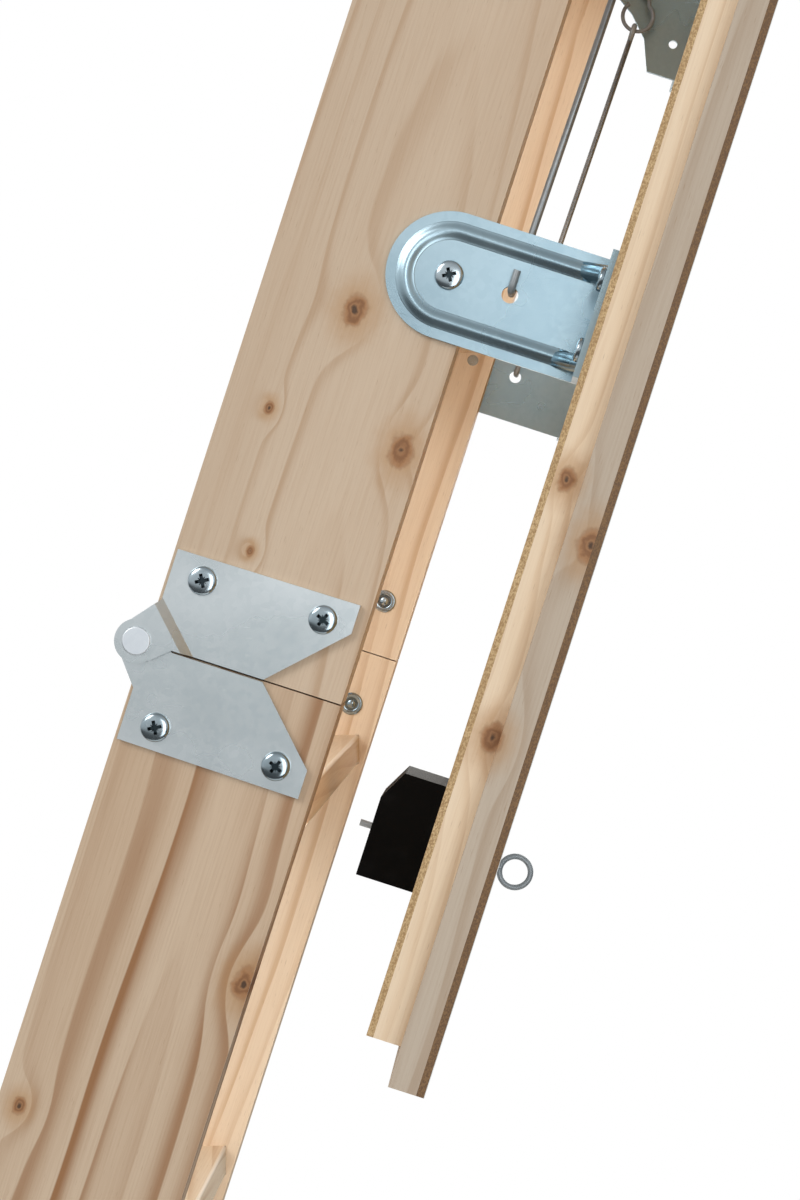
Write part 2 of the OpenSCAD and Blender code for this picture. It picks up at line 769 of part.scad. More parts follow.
// Wire along a path: a round bar for each stretch, a slightly fuller ball at each corner
module wire(points, r) {
    ball_r = r + 0.04;
    for (i = [0:len(points) - 2]) {
        step = points[i + 1] - points[i];
        run = norm(step);
        translate(points[i]) rotate([0, acos(step[2]/run), atan2(step[1], step[0])])
            cylinder(r = r, h = run);
    }
    for (p = points) translate(p) sphere(r = ball_r, $fn = 32);
}

// A closed loop of wire round an axis along y
module loop_y(x, y, z, loop_r, r) {
    translate([x, y, z]) rotate([90, 0, 0])
        rotate_extrude($fn = fine) translate([loop_r, 0]) circle(r = r, $fn = 24);
}

module tie_rod() {
    r = wire_d/2;
    eye_x = hook_x - rod_eye_r + r + spring_wire/2 + hold;
    hole_z = attic_face + bracket_hole;
    out_y = -side_y - sheet_t - bead_high - r - 0.5;
    translate([eye_x, -spring_y, spring_z])
        rotate_extrude($fn = fine) translate([rod_eye_r, 0]) circle(r = r, $fn = 24);
    wire([[eye_x - rod_eye_r, -spring_y, spring_z], [rod_x, -spring_y, hole_z],
          [rod_x, out_y, hole_z], [rod_x + 8, out_y, hole_z]], r);
}

module tie_rods() { color("silver") opened() both_sides() tie_rod(); }

// The coils are drawn as the bar that they fill
module tension_spring() {
    r = spring_wire/2;
    run = norm([spring_eye[0] - hook_x, spring_eye[1] - spring_z]);
    ring_r = 3 + r + hold;
    coil_end = run - ring_r - 14;
    translate([hook_x, -spring_y, spring_z])
        rotate([0, atan2(spring_z - spring_eye[1], spring_eye[0] - hook_x), 0]) {
            loop_y(hook_r, 0, 0, hook_r, r);
            bar_x(0, 0, r, 2*hook_r - 0.5, 2*hook_r + 6);
            bar_x(0, 0, spring_r, 2*hook_r + 5, coil_end);
            bar_x(0, 0, r, coil_end - 1, run - ring_r + 0.5);
            loop_y(run, 0, 0, ring_r, r);
        }
}

module tension_spring_near() { color("gray") opened() tension_spring(); }
module tension_spring_far() { color("gray") opened() on_side(true) tension_spring(); }

// A flat bar between two pivots, with round ends that are a little wider
module bar_outline(from, to) {
    run = to - from;
    wid = arm_wid - 0.3;
    translate(from) rotate(atan2(run[1], run[0]))
        translate([0, -wid/2]) square([norm(run), wid]);
    for (p = [from, to]) translate(p) circle(r = arm_wid/2, $fn = fine);
}

// z of the lever's middle line
function lever_z(x) = seen_1[1] + (knee[1] - seen_1[1])*(seen_1[0] - x)/(seen_1[0] - knee[0]);

module lever() {
    lug_half = 20;
    lug_r = 9;
    head_t = 1.1;
    difference() {
        union() {
            plate(-lever_y - arm_t, -lever_y) {
                bar_outline(seen_1, knee);
                polygon([[spring_eye[0] - lug_half, lever_z(spring_eye[0] - lug_half)],
                         [spring_eye[0] + lug_half, lever_z(spring_eye[0] + lug_half)],
                         spring_eye + [lug_r, 0], spring_eye - [lug_r, 0]]);
                translate(spring_eye) circle(r = lug_r, $fn = fine);
            }
            // stud for the spring
            bar_y(spring_eye[0], spring_eye[1], 3, -lever_y - 0.01, -spring_y + 4);
            bar_y(spring_eye[0], spring_eye[1], 4.6, -spring_y + 3, -spring_y + 5);
            // knee pin, through the link
            bar_y(knee[0], knee[1], pivot_r, -lever_y - arm_t - head_t, -link_y + 0.9);
            bar_y(knee[0], knee[1], 6, -lever_y - arm_t - head_t, -lever_y - arm_t + 0.01);
            bar_y(knee[0], knee[1], 6, -link_y + clear, -link_y + 0.9);
        }
        bar_y(seen_1[0], seen_1[1], pivot_r + 0.05, -lever_y - 10, -lever_y + 1);
    }
}

// The knee is a loose fit in the link
module link() {
    difference() {
        plate(-link_y - arm_t, -link_y) bar_outline(pivot_2, knee);
        bar_y(pivot_2[0], pivot_2[1], pivot_r + 0.05, -link_y - 10, -link_y + 1);
        bar_y(knee[0], knee[1], pivot_r + 0.4, -link_y - 10, -link_y + 1);
    }
}

module lever_near() { color("lightsteelblue") opened() lever(); }
module lever_far() { color("lightsteelblue") opened() on_side(true) lever(); }
module link_near() { color("lightsteelblue") opened() link(); }
module link_far() { color("lightsteelblue") opened() on_side(true) link(); }

// ---------- lock ----------

// A case's outline from the side, shrunk by a wall
module case_outline(wall) {
    top = attic_face + lock_high - wall;
    slant = [14 + 0.4*wall, 7.5 - 0.4*wall];
    polygon([[lock_x0 + wall, attic_face - wall], [lock_x0 + wall, top],
             [lock_x1 - slant[0], top], [lock_x1 - wall, top - slant[1]],
             [lock_x1 - wall, attic_face - wall]]);
}

module lock_case() {
    y = lock_wid/2;
    top = attic_face + lock_high;
    color([0.06, 0.06, 0.06]) opened() difference() {
        plate(-y, y) case_outline(0);
        plate(-y + lock_wall, y - lock_wall) case_outline(lock_wall);
        bar_z(spindle_x, 0, spindle_r + 0.5, top - 5, top + 1);
        block([lock_x0 - 1, -9, attic_face + 1.5], [lock_x0 + 6, 9, top + 1]);
    }
}

module lock_base() {
    color("silver") opened() difference() {
        union() {
            block([lock_x0 + 3, -16.5, attic_face],
                  [lock_x1 - 3, 16.5, attic_face + sheet_t]);
            bar_z(spindle_x, 0, boss_r, attic_face, boss_z);
        }
        bar_z(spindle_x, 0, spindle_r + 0.1, attic_face - 1, boss_z + 1);
        for (side = [-1, 1], x = lock_screw_xs)
            bar_z(x, side*lock_screw_y, lock_screw_r + 0.05, attic_face - 1, attic_face + 4);
    }
}

module lock_screws() {
    color("silver") opened() for (side = [-1, 1], x = lock_screw_xs)
        translate([x, side*lock_screw_y, attic_face + sheet_t])
            screw(lock_screw_r, lock_screw_len, 3);
}

module latch_bolt() {
    nose_x = lock_x0 + 1.5;
    room = boss_r + 0.8;
    color("silver") opened() difference() {
        union() {
            block([nose_x, -4.5, latch_z[0]], [nose_x + 5, 4.5, latch_z[1]]);
            block([nose_x + 4.5, -9, latch_z[0]], [lock_x1 - 12, 9, latch_z[1]]);
        }
        block([spindle_x - room - latch_travel, -room, latch_z[0] - 1],
              [spindle_x + room, room, latch_z[1] + 1]);
    }
}

// Spindle with the ring that the opening pole hooks
module pull_eye() {
    color("silver") opened() {
        loop_y(spindle_x, 0, eye_z, eye_r, eye_wire);
        bar_z(spindle_x, 0, spindle_r, eye_z + eye_r - 0.5, attic_face + lock_high + 6.2);
        bar_z(spindle_x, 0, boss_r, collar_z, collar_z + 2);
    }
}

// The spring that holds the pull eye up, as the tube that its coils fill
module lock_spring() {
    color("gray") opened() difference() {
        bar_z(spindle_x, 0, 4.4, boss_z + 0.1, collar_z - 0.1);
        bar_z(spindle_x, 0, 2.4, boss_z - 1, collar_z + 1);
    }
}

frame_side_near();
frame_side_far();
frame_end_hinged();
frame_end_lock();
frame_corner_screws();
stop_battens();
frame_seal();
arm_post_near();
arm_post_far();
arm_post_screws();
striker();
striker_screws();
hatch_hinge_fixed_leaves();
hatch_hinge_pins();
hinge_frame_screws();
hinge_hatch_screws();
hatch_outer_rails();
hatch_inner_rails();
hatch_insulation();
hatch_attic_board();
hatch_room_board();
hatch_hinge_moving_leaves();
lower_bracket_near();
lower_bracket_far();
upper_bracket_near();
upper_bracket_far();
bracket_screws();
upper_stile_near();
upper_stile_far();
upper_treads();
fold_1_upper_plates();
fold_1_pins();
upper_bolts();
stand_off_wood_screws();
tie_rods();
tension_spring_near();
tension_spring_far();
lock_case();
lock_base();
lock_screws();
lever_near();
lever_far();
link_near();
link_far();
middle_stile_near();
middle_stile_far();
middle_treads();
fold_1_lower_plates();
fold_2_upper_plates();
fold_2_pins();
middle_bolts();
lower_stile_near();
lower_stile_far();
lower_treads();
fold_2_lower_plates();
lower_bolts();
foot_caps();
pull_eye();
latch_bolt();
lock_spring();
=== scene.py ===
"""Looks of the folding attic ladder: pine, zinc-plated fittings, springs and the hatch."""

import json
import math

import bmesh
import bpy
from mathutils import Matrix, Vector


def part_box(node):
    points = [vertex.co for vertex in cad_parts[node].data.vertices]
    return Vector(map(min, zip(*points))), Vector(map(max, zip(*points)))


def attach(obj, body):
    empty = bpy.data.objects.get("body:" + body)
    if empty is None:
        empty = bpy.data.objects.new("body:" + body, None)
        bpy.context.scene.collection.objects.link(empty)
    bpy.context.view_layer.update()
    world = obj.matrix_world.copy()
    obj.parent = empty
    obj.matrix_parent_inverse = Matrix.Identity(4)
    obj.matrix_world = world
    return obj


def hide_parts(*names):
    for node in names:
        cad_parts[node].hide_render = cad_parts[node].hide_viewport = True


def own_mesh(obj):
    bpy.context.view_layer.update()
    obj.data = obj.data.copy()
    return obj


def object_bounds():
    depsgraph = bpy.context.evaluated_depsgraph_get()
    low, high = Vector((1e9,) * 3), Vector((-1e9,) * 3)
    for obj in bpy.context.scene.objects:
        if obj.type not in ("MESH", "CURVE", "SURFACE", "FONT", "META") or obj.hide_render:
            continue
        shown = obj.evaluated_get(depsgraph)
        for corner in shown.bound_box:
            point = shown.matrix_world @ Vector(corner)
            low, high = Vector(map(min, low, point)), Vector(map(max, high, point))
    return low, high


MM = 0.001
WELD = 2e-6  # vertices nearer than this are one
TURNED_WELD = 1e-6
PARALLEL = 0.9999  # cosine above which two directions are the same
OPEN_ANGLE = math.radians(72.1)
YAXIS = Vector((0, 1, 0))
ZAXIS = Vector((0, 0, 1))

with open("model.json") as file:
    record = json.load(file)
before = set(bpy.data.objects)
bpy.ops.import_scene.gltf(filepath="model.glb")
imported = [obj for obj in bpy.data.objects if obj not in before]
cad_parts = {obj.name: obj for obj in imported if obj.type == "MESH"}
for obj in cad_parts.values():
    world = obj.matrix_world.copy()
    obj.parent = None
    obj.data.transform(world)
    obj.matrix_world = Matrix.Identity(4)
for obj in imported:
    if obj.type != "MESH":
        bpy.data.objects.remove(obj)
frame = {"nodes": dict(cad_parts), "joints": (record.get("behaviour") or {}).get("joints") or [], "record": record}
cad_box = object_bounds()
joints = {j["name"]: j for j in frame["joints"]}
body_of = {n: b for b, ns in frame["record"]["behaviour"]["bodies"].items() for n in ns}

# Parts that swing with the hatch are placed as they lie with the hatch shut, then opened
HINGE = Vector(joints["hatch_hinge"]["pos_m"])
OPENED = (
    Matrix.Translation(HINGE) @ Matrix.Rotation(-OPEN_ANGLE, 4, "Y") @ Matrix.Translation(-HINGE)
)
SHUT = OPENED.inverted()
STILE_OUT = 0.190  # outer face of a stile from the middle
STILE_T = 0.022
SHEET_T = 0.0025


def shut(point):
    """A point of the open ladder as it lies with the hatch shut."""
    return SHUT @ Vector(point)


def new_object(name, data):
    made = bpy.data.objects.new(name, data)
    bpy.context.scene.collection.objects.link(made)
    return made


def new_mesh(name, bm):
    """The mesh of a bmesh, which is freed."""
    mesh = bpy.data.meshes.new(name)
    bm.to_mesh(mesh)
    bm.free()
    return mesh


def applied(made):
    """An object's mesh with its modifiers applied. The object is removed."""
    bpy.context.view_layer.update()
    graph = bpy.context.evaluated_depsgraph_get()
    mesh = bpy.data.meshes.new_from_object(made.evaluated_get(graph))
    bpy.data.objects.remove(made)
    return mesh


def shade_smooth(bm, crease):
    """Smooths all faces, and keeps edges that turn by more than crease degrees sharp."""
    for face in bm.faces:
        face.smooth = True
    for edge in bm.edges:
        sharp = edge.is_manifold and edge.calc_face_angle(0.0) > math.radians(crease)
        edge.smooth = not sharp


# ---------- node trees ----------


class Nodes:
    """Short calls for a tree's nodes."""

    def __init__(self, tree):
        self.tree = tree

    def put(self, socket, value):
        if isinstance(value, bpy.types.NodeSocket):
            self.tree.links.new(value, socket)
        else:
            socket.default_value = value

    def node(self, kind, inputs, **settings):
        made = self.tree.nodes.new("ShaderNode" + kind)
        for key, value in settings.items():
            setattr(made, key, value)
        for key, value in inputs.items():
            self.put(made.inputs[key], value)
        return made


class Shader(Nodes):
    """A material's nodes, with a short call for each kind that is used."""

    def __init__(self, name, **uniform):
        self.material = bpy.data.materials.new(name)
        self.material.use_nodes = True
        super().__init__(self.material.node_tree)
        self.bsdf = self.tree.nodes["Principled BSDF"]
        for socket, value in uniform.items():
            self.bsdf.inputs[socket.replace("_", " ")].default_value = value

    def math(self, operation, a, b=0.0, clamp=False):
        return self.node("Math", {0: a, 1: b}, operation=operation, use_clamp=clamp).outputs[0]

    def grain(self):
        """The point in its board's own axes: along, through and across it."""
        return self.node("Attribute", {}, attribute_name="grain").outputs["Vector"]

    def painted_light_and_shade(self):
        """Painted highlight, 1, on a rounded edge; painted shade, -1, in a recess; 0 elsewhere."""
        return self.node("Attribute", {}, attribute_name="painted_light_and_shade").outputs["Fac"]

    def object_point(self):
        return self.node("TexCoord", {}).outputs["Object"]

    def stretch(self, vector, along, through, across):
        inputs = {0: vector, 1: (along, through, across)}
        return self.node("VectorMath", inputs, operation="MULTIPLY").outputs[0]

    def noise(self, vector, scale=1.0, detail=3.0, rough=0.5):
        inputs = {"Vector": vector, "Scale": scale, "Detail": detail, "Roughness": rough}
        return self.node("TexNoise", inputs).outputs["Fac"]

    def step(self, value, low, high, out_low=0.0, out_high=1.0):
        """A smooth step from out_low, where value is low, to out_high."""
        inputs = {0: value, 1: low, 2: high, 3: out_low, 4: out_high}
        return self.node("MapRange", inputs, interpolation_type="SMOOTHSTEP").outputs[0]

    def mix(self, factor, a, b):
        made = self.node("Mix", {}, data_type="RGBA")
        # the sockets of a colour mix are number 0, 6 and 7
        for index, value in ((0, factor), (6, a), (7, b)):
            if not isinstance(value, (bpy.types.NodeSocket, float)):
                value = (*value, 1.0)
            self.put(made.inputs[index], value)
        return made.outputs[2]

    def colour(self, value):
        self.put(self.bsdf.inputs["Base Color"], value)

    def rough(self, value):
        self.put(self.bsdf.inputs["Roughness"], value)

    def bump(self, height, strength, distance):
        inputs = {"Height": height, "Strength": strength, "Distance": distance}
        self.put(self.bsdf.inputs["Normal"], self.node("Bump", inputs).outputs[0])


# ---------- materials ----------

# Pine: two colours of its early wood, the dark line of a year, and a painted highlight on rounded edges
PALE = (0.640, 0.485, 0.345)
CREAM = (0.740, 0.590, 0.440)
LATE = (0.440, 0.250, 0.125)
PAINTED_EDGE_HIGHLIGHT = (0.860, 0.740, 0.600)
RESIN = (0.30, 0.15, 0.06)
KNOT_HALO = (0.520, 0.290, 0.130)
KNOT_DARK = (0.250, 0.105, 0.040)
KNOT_LIGHT = (0.400, 0.190, 0.080)
KNOT_PITH = (0.050, 0.022, 0.012)
KNOT_ALONG = 0.72  # what distance along the grain counts for, so that a knot is longer that way


def knot_field(s, axes, x, z, radius):
    """How far a point is from a knot's middle, in knot radii; a knot is longer along the grain."""
    dx = s.math("MULTIPLY", s.math("SUBTRACT", axes[0], x), KNOT_ALONG / radius)
    dz = s.math("MULTIPLY", s.math("SUBTRACT", axes[2], z), 1.0 / radius)
    return s.math("SQRT", s.math("ADD", s.math("MULTIPLY", dx, dx), s.math("MULTIPLY", dz, dz)))


def pine(name, heart, lean, ring, contrast, knots=(), sharp=2.2, pale=PALE, cream=CREAM, late=LATE):
    """Planed pine. heart is (through, across) of the tree's middle, lean its slope along the board,
    ring the width of a year, contrast the strength of its dark line and sharp how thin that is."""
    s = Shader(name, Specular_IOR_Level=0.35)
    grain = s.grain()
    split = s.node("SeparateXYZ", {0: grain})
    axes = [split.outputs[i] for i in range(3)]
    sway = s.noise(s.stretch(grain, 2.2, 9.0, 9.0), 1.0, 2.0)
    sway = s.math("MULTIPLY", s.math("SUBTRACT", sway, 0.5), 0.05)
    depth = s.math("SUBTRACT", axes[1], heart[0])
    depth = s.math("ADD", depth, s.math("MULTIPLY", axes[0], lean))
    across = s.math("ADD", s.math("SUBTRACT", axes[2], heart[1]), sway)
    radius = s.math(
        "SQRT", s.math("ADD", s.math("MULTIPLY", depth, depth), s.math("MULTIPLY", across, across))
    )
    wander = s.noise(s.stretch(grain, 3.0, 40.0, 40.0), 1.0, 3.0)
    phase = s.math("DIVIDE", s.math("ADD", radius, s.math("MULTIPLY", wander, 0.006)), ring)
    fields = [knot_field(s, axes, *knot) for knot in knots]
    for field in fields:
        pull = s.math("EXPONENT", s.math("MULTIPLY", s.math("MULTIPLY", field, field), -0.22))
        phase = s.math("ADD", phase, s.math("MULTIPLY", pull, 0.9))
    year = s.math("FRACT", phase)
    strength = s.noise(s.stretch(grain, 1.2, 60.0, 60.0), 1.0, 2.0)
    strength = s.step(strength, 0.30, 0.72, 0.12 * contrast, contrast)
    late_wood = s.math("POWER", s.step(year, 0.05, 0.90), sharp)
    late_wood = s.math("MULTIPLY", late_wood, s.step(year, 1.0, 0.94))
    late_wood = s.math("MULTIPLY", late_wood, strength, clamp=True)
    tint = s.noise(s.stretch(grain, 1.6, 14.0, 14.0), 1.0, 2.0)
    body = s.mix(s.step(tint, 0.3, 0.7), pale, cream)
    colour = s.mix(late_wood, body, late)
    fibre = s.noise(s.stretch(grain, 30.0, 1400.0, 1400.0), 1.0, 2.0)
    colour = s.mix(s.step(fibre, 0.35, 0.75, 0.0, 0.16), colour, late)
    flecks = s.noise(s.stretch(grain, 160.0, 2600.0, 2600.0), 1.0, 1.0)
    colour = s.mix(s.step(flecks, 0.66, 0.80, 0.0, 0.35), colour, RESIN)
    height = s.math("ADD", fibre, s.math("MULTIPLY", late_wood, 0.6))
    for field in fields:
        rough_rim = s.noise(s.stretch(grain, 260, 260, 260))
        ragged = s.math("ADD", field, s.math("MULTIPLY", rough_rim, 0.7))
        colour = s.mix(s.step(ragged, 2.7, 0.8, 0.0, 0.62), colour, KNOT_HALO)
        rings = s.math("SINE", s.math("MULTIPLY", ragged, 15.0))
        rings = s.math("MULTIPLY", s.math("ADD", rings, 1.0), 0.5)
        wood = s.mix(rings, KNOT_DARK, KNOT_LIGHT)
        wood = s.mix(s.step(ragged, 0.62, 0.38), wood, KNOT_PITH)
        colour = s.mix(s.step(ragged, 1.25, 0.85, 0.0, 0.9), colour, wood)
    # rounded edges are painted paler: a painted highlight where light catches them
    s.colour(s.mix(s.math("MULTIPLY", s.painted_light_and_shade(), 0.8), colour, PAINTED_EDGE_HIGHLIGHT))
    s.rough(s.step(fibre, 0.2, 0.8, 0.50, 0.66))
    s.bump(height, 0.25, 0.0002)
    return s.material


def fibreboard(name, dark, light, painted=None):
    """Hardboard: pressed fibres, speckled at its edges. A painted one is painted below z = 0."""
    s = Shader(name)
    grain = s.grain()
    speck = s.noise(s.stretch(grain, 1500, 1500, 2200), 1.0, 2.0)
    cloud = s.noise(s.stretch(grain, 60, 60, 60), 1.0, 3.0)
    colour = s.mix(s.step(speck, 0.35, 0.66), dark, light)
    colour = s.mix(s.step(cloud, 0.3, 0.75, 0.0, 0.35), colour, dark)
    if painted:
        z = s.node("SeparateXYZ", {0: grain}).outputs[2]
        colour = s.mix(s.step(z, 0.00025, 0.00015), colour, painted)
    s.colour(colour)
    s.rough(s.step(speck, 0.2, 0.8, 0.45, 0.8))
    s.bump(speck, 0.3, 0.0002)
    return s.material


# a painted highlight for the rounded edges of zinc
ZINC_PAINTED_HIGHLIGHT = (0.90, 0.93, 0.94)
# painted shade for recesses, such as a screw head's cross
PAINTED_RECESS_SHADE = (0.010, 0.022, 0.028)


def zinc(name, dark, light, rough, metallic=1.0):
    """Bright zinc plate on rolled sheet: faint clouds, fine rolling marks and small scuffs."""
    s = Shader(name, Metallic=metallic)
    point = s.object_point()
    cloud = s.noise(s.stretch(point, 22, 22, 22), 1.0, 3.0, 0.5)
    spangle = s.node("TexVoronoi", {"Vector": point, "Scale": 420.0}).outputs["Color"]
    spangle = s.node("SeparateColor", {0: spangle}).outputs[0]
    rolled = s.noise(s.stretch(point, 260, 2600, 2600), 1.0, 2.0)
    tone = s.math("ADD", s.math("MULTIPLY", cloud, 0.86), s.math("MULTIPLY", spangle, 0.14))
    painted_light_and_shade = s.painted_light_and_shade()
    plated = s.mix(s.step(tone, 0.2, 0.8), dark, light)
    # rounded edges are painted brighter: a painted highlight
    plated = s.mix(s.step(painted_light_and_shade, 0.0, 1.0, 0.0, 0.35), plated, ZINC_PAINTED_HIGHLIGHT)
    # recesses are painted nearly black: painted shade
    s.colour(s.mix(s.step(painted_light_and_shade, 0.0, -1.0, 0.0, 0.93), plated, PAINTED_RECESS_SHADE))
    scuff = s.step(s.noise(s.stretch(point, 30, 700, 700), 1.0, 5.0, 0.7), 0.60, 0.80, 0.0, 0.03)
    gloss = s.math("ADD", s.step(cloud, 0.25, 0.75, rough - 0.03, rough + 0.05), scuff)
    s.rough(gloss)
    s.bump(rolled, 0.03, 0.00005)
    return s.material


def moulded(name, base, edge, rough, shine=0.22):
    """Moulded plastic or rubber with a fine spark-eroded grain."""
    s = Shader(name, Specular_IOR_Level=shine)
    point = s.object_point()
    cell = s.noise(s.stretch(point, 1800, 1800, 1800), 1.0, 2.0)
    dust = s.noise(s.stretch(point, 90, 90, 90), 1.0, 4.0)
    s.colour(s.mix(s.step(dust, 0.45, 0.8), base, edge))
    s.rough(s.step(cell, 0.3, 0.7, rough - 0.06, rough + 0.1))
    s.bump(cell, 0.22, 0.0002)
    return s.material


# Knots: place along and across the shut ladder or hatch, and radius
UPPER_KNOTS = [(-0.3155, 0.1168, 0.0062), (-0.362, 0.137, 0.0026), (-0.362, 0.083, 0.0065),
               (-0.417, 0.127, 0.0022), (0.115, 0.098, 0.006), (0.37, 0.131, 0.005)]
MIDDLE_KNOTS = [(-0.578, 0.0775, 0.0065), (-0.650, 0.146, 0.0038), (-0.93, 0.10, 0.007),
                (-1.21, 0.135, 0.005)]
LOWER_KNOTS = [(-1.62, 0.121, 0.006), (-1.90, 0.092, 0.0045), (-2.19, 0.13, 0.007)]
FAR_KNOTS = [(-0.10, 0.105, 0.006), (-0.86, 0.12, 0.0055), (-1.36, 0.09, 0.006),
             (-1.74, 0.11, 0.0065), (-2.10, 0.125, 0.004)]
HATCH_KNOTS = [(-0.376, 0.004, 0.0062), (-0.356, 0.019, 0.0045), (-0.451, 0.016, 0.0055),
               (0.06, 0.009, 0.006), (0.33, 0.017, 0.005)]


def palette(pale, cream, late):
    return {"pale": pale, "cream": cream, "late": late}


BROWNER = palette((0.600, 0.425, 0.280), (0.720, 0.560, 0.405), (0.345, 0.165, 0.070))
GREYER = palette((0.540, 0.430, 0.325), (0.630, 0.520, 0.405), (0.360, 0.225, 0.130))
WARMER = palette((0.760, 0.575, 0.400), (0.840, 0.680, 0.500), (0.520, 0.300, 0.145))
BRIGHTER = palette((0.900, 0.680, 0.460), (0.940, 0.770, 0.570), (0.600, 0.350, 0.165))

# pine: heart, lean, ring, contrast, knots, sharp
materials = {
    "upper_pine": pine("pine_upper", (-0.235, 0.103), 0.05, 0.0095, 0.60, UPPER_KNOTS, 14.0),
    "middle_pine": pine(
        "pine_middle", (-0.228, 0.116), 0.05, 0.0120, 1.1, MIDDLE_KNOTS, 1.7, **BROWNER
    ),
    "lower_pine": pine(
        "pine_lower", (-0.240, 0.108), 0.03, 0.008, 1.0, LOWER_KNOTS, 3.5, **BROWNER
    ),
    "far_pine": pine("pine_far", (0.215, 0.122), -0.04, 0.009, 0.7, FAR_KNOTS, 5.0, **WARMER),
    "tread_pine": pine("pine_treads", (0.0, -0.07), 0.06, 0.0065, 0.65, (), 4.0, **WARMER),
    "outer_pine": pine(
        "pine_outer_rails", (-0.31, -0.02), 0.008, 0.0048, 0.5, HATCH_KNOTS, 3.0, **GREYER
    ),
    "inner_pine": pine(
        "pine_inner_rails", (-0.30, 0.05), 0.010, 0.0042, 0.5, HATCH_KNOTS, 4.0, **BRIGHTER
    ),
    "frame_pine": pine("pine_frame", (-0.32, 0.05), 0.03, 0.008, 0.5),
    "attic_board": fibreboard("hardboard_attic", (0.40, 0.235, 0.095), (0.72, 0.51, 0.27)),
    "room_board": fibreboard(
        "hardboard_room", (0.150, 0.075, 0.030), (0.27, 0.150, 0.065), (0.80, 0.80, 0.78)
    ),
    "blue_zinc": zinc("zinc_blue", (0.37, 0.505, 0.575), (0.46, 0.595, 0.66), 0.28),
    "zinc": zinc("zinc_plate", (0.66, 0.72, 0.735), (0.80, 0.84, 0.85), 0.27),
    "screw_zinc": zinc("zinc_screws", (0.34, 0.42, 0.46), (0.56, 0.63, 0.67), 0.17),
    "satin": zinc("satin_steel", (0.74, 0.78, 0.82), (0.84, 0.87, 0.90), 0.45),
    "wire": zinc("steel_wire", (0.26, 0.285, 0.30), (0.38, 0.40, 0.41), 0.42, 0.4),
    "spring": zinc("spring_steel", (0.22, 0.24, 0.26), (0.34, 0.36, 0.38), 0.36, 0.6),
    "black": moulded("black_plastic", (0.002, 0.002, 0.002), (0.004, 0.004, 0.004), 0.55, 0.06),
    "rubber": moulded("rubber_feet", (0.012, 0.012, 0.012), (0.035, 0.034, 0.033), 0.62),
    "foam": moulded("seal_foam", (0.020, 0.020, 0.021), (0.05, 0.05, 0.05), 0.85),
    "insulation": moulded("insulation", (0.80, 0.80, 0.78), (0.68, 0.68, 0.66), 0.8),
}


# ---------- pieces from the CAD ----------


def crossed(point):
    """The axes of a board whose grain runs along y."""
    return Vector((point[1], point[0], point[2]))


def crossed_shut(point):
    return crossed(shut(point))


def add_grain(mesh, axes):
    attribute = mesh.attributes.new("grain", "FLOAT_VECTOR", "POINT")
    for vertex, value in zip(mesh.vertices, attribute.data):
        value.vector = axes(vertex.co)


def settle(piece, material, node):
    """Gives a new piece its material, and its CAD node's body."""
    piece.data.materials.clear()
    piece.data.materials.append(materials[material])
    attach(piece, body_of[node])
    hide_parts(node)


SHARP = math.radians(32)  # edges that turn by more are rounded
FLAT = math.radians(0.4)  # faces that turn by less become one


def sharp_edges(bm, shortest=0.0):
    edges = [e for e in bm.edges if e.is_manifold and e.calc_length() > shortest]
    return [e for e in edges if e.calc_face_angle(0.0) > SHARP]


def round_off(bm, edges, width, segments):
    """Rounds edges and marks the new faces for a painted highlight."""
    painted_light_layer = bm.faces.layers.float["painted_light_and_shade"]
    made = bmesh.ops.bevel(
        bm, geom=edges, offset=width, offset_type="OFFSET", segments=segments, profile=0.5,
        affect="EDGES", clamp_overlap=True,
    )
    for face in made["faces"]:
        face[painted_light_layer] = 1.0


def ease(bm, width, segments, along=None, wide=0.0, shortest=0.0):
    """Welds, drops the flat triangles' edges and rounds every sharp edge. Edges that run along a
    direction can be rounded wider, and the short ones of a small hole's rim left sharp."""
    bmesh.ops.remove_doubles(bm, verts=bm.verts, dist=WELD)
    bmesh.ops.dissolve_limit(
        bm, angle_limit=FLAT, use_dissolve_boundaries=False, verts=bm.verts, edges=bm.edges,
    )
    # a face layer for painted highlights on rounded edges and painted shade in recesses
    bm.faces.layers.float.new("painted_light_and_shade")
    if along:
        runs = [(e, (e.verts[1].co - e.verts[0].co).normalized()) for e in sharp_edges(bm)]
        round_off(bm, [e for e, run in runs if abs(run.dot(along)) > PARALLEL], wide, 4)
    round_off(bm, sharp_edges(bm, shortest), width, segments)
    shade_smooth(bm, 50)


# The lower brackets' bead, in the shut frame
BRACKET_X = -0.2918
NOSE_Z = 0.0858
BEAD_LOW_Z = 0.033
BEAD_RUN_R = 17.5 * MM
BEAD_WIDE = 7.5 * MM
BEAD_HIGH = 1.2 * MM
BEAD_ROOT = 0.4 * MM  # how deep it reaches into the plate
SHORTEST_RIM = 0.45 * MM  # edges of the rod's hole are shorter


def flatten_bead(bm):
    """Sinks the square bead into the plate's face."""
    face_y = STILE_OUT + SHEET_T
    for vertex in bm.verts:
        if abs(abs(vertex.co.y) - face_y - BEAD_HIGH) < 0.05 * MM:
            vertex.co.y = math.copysign(face_y, vertex.co.y)


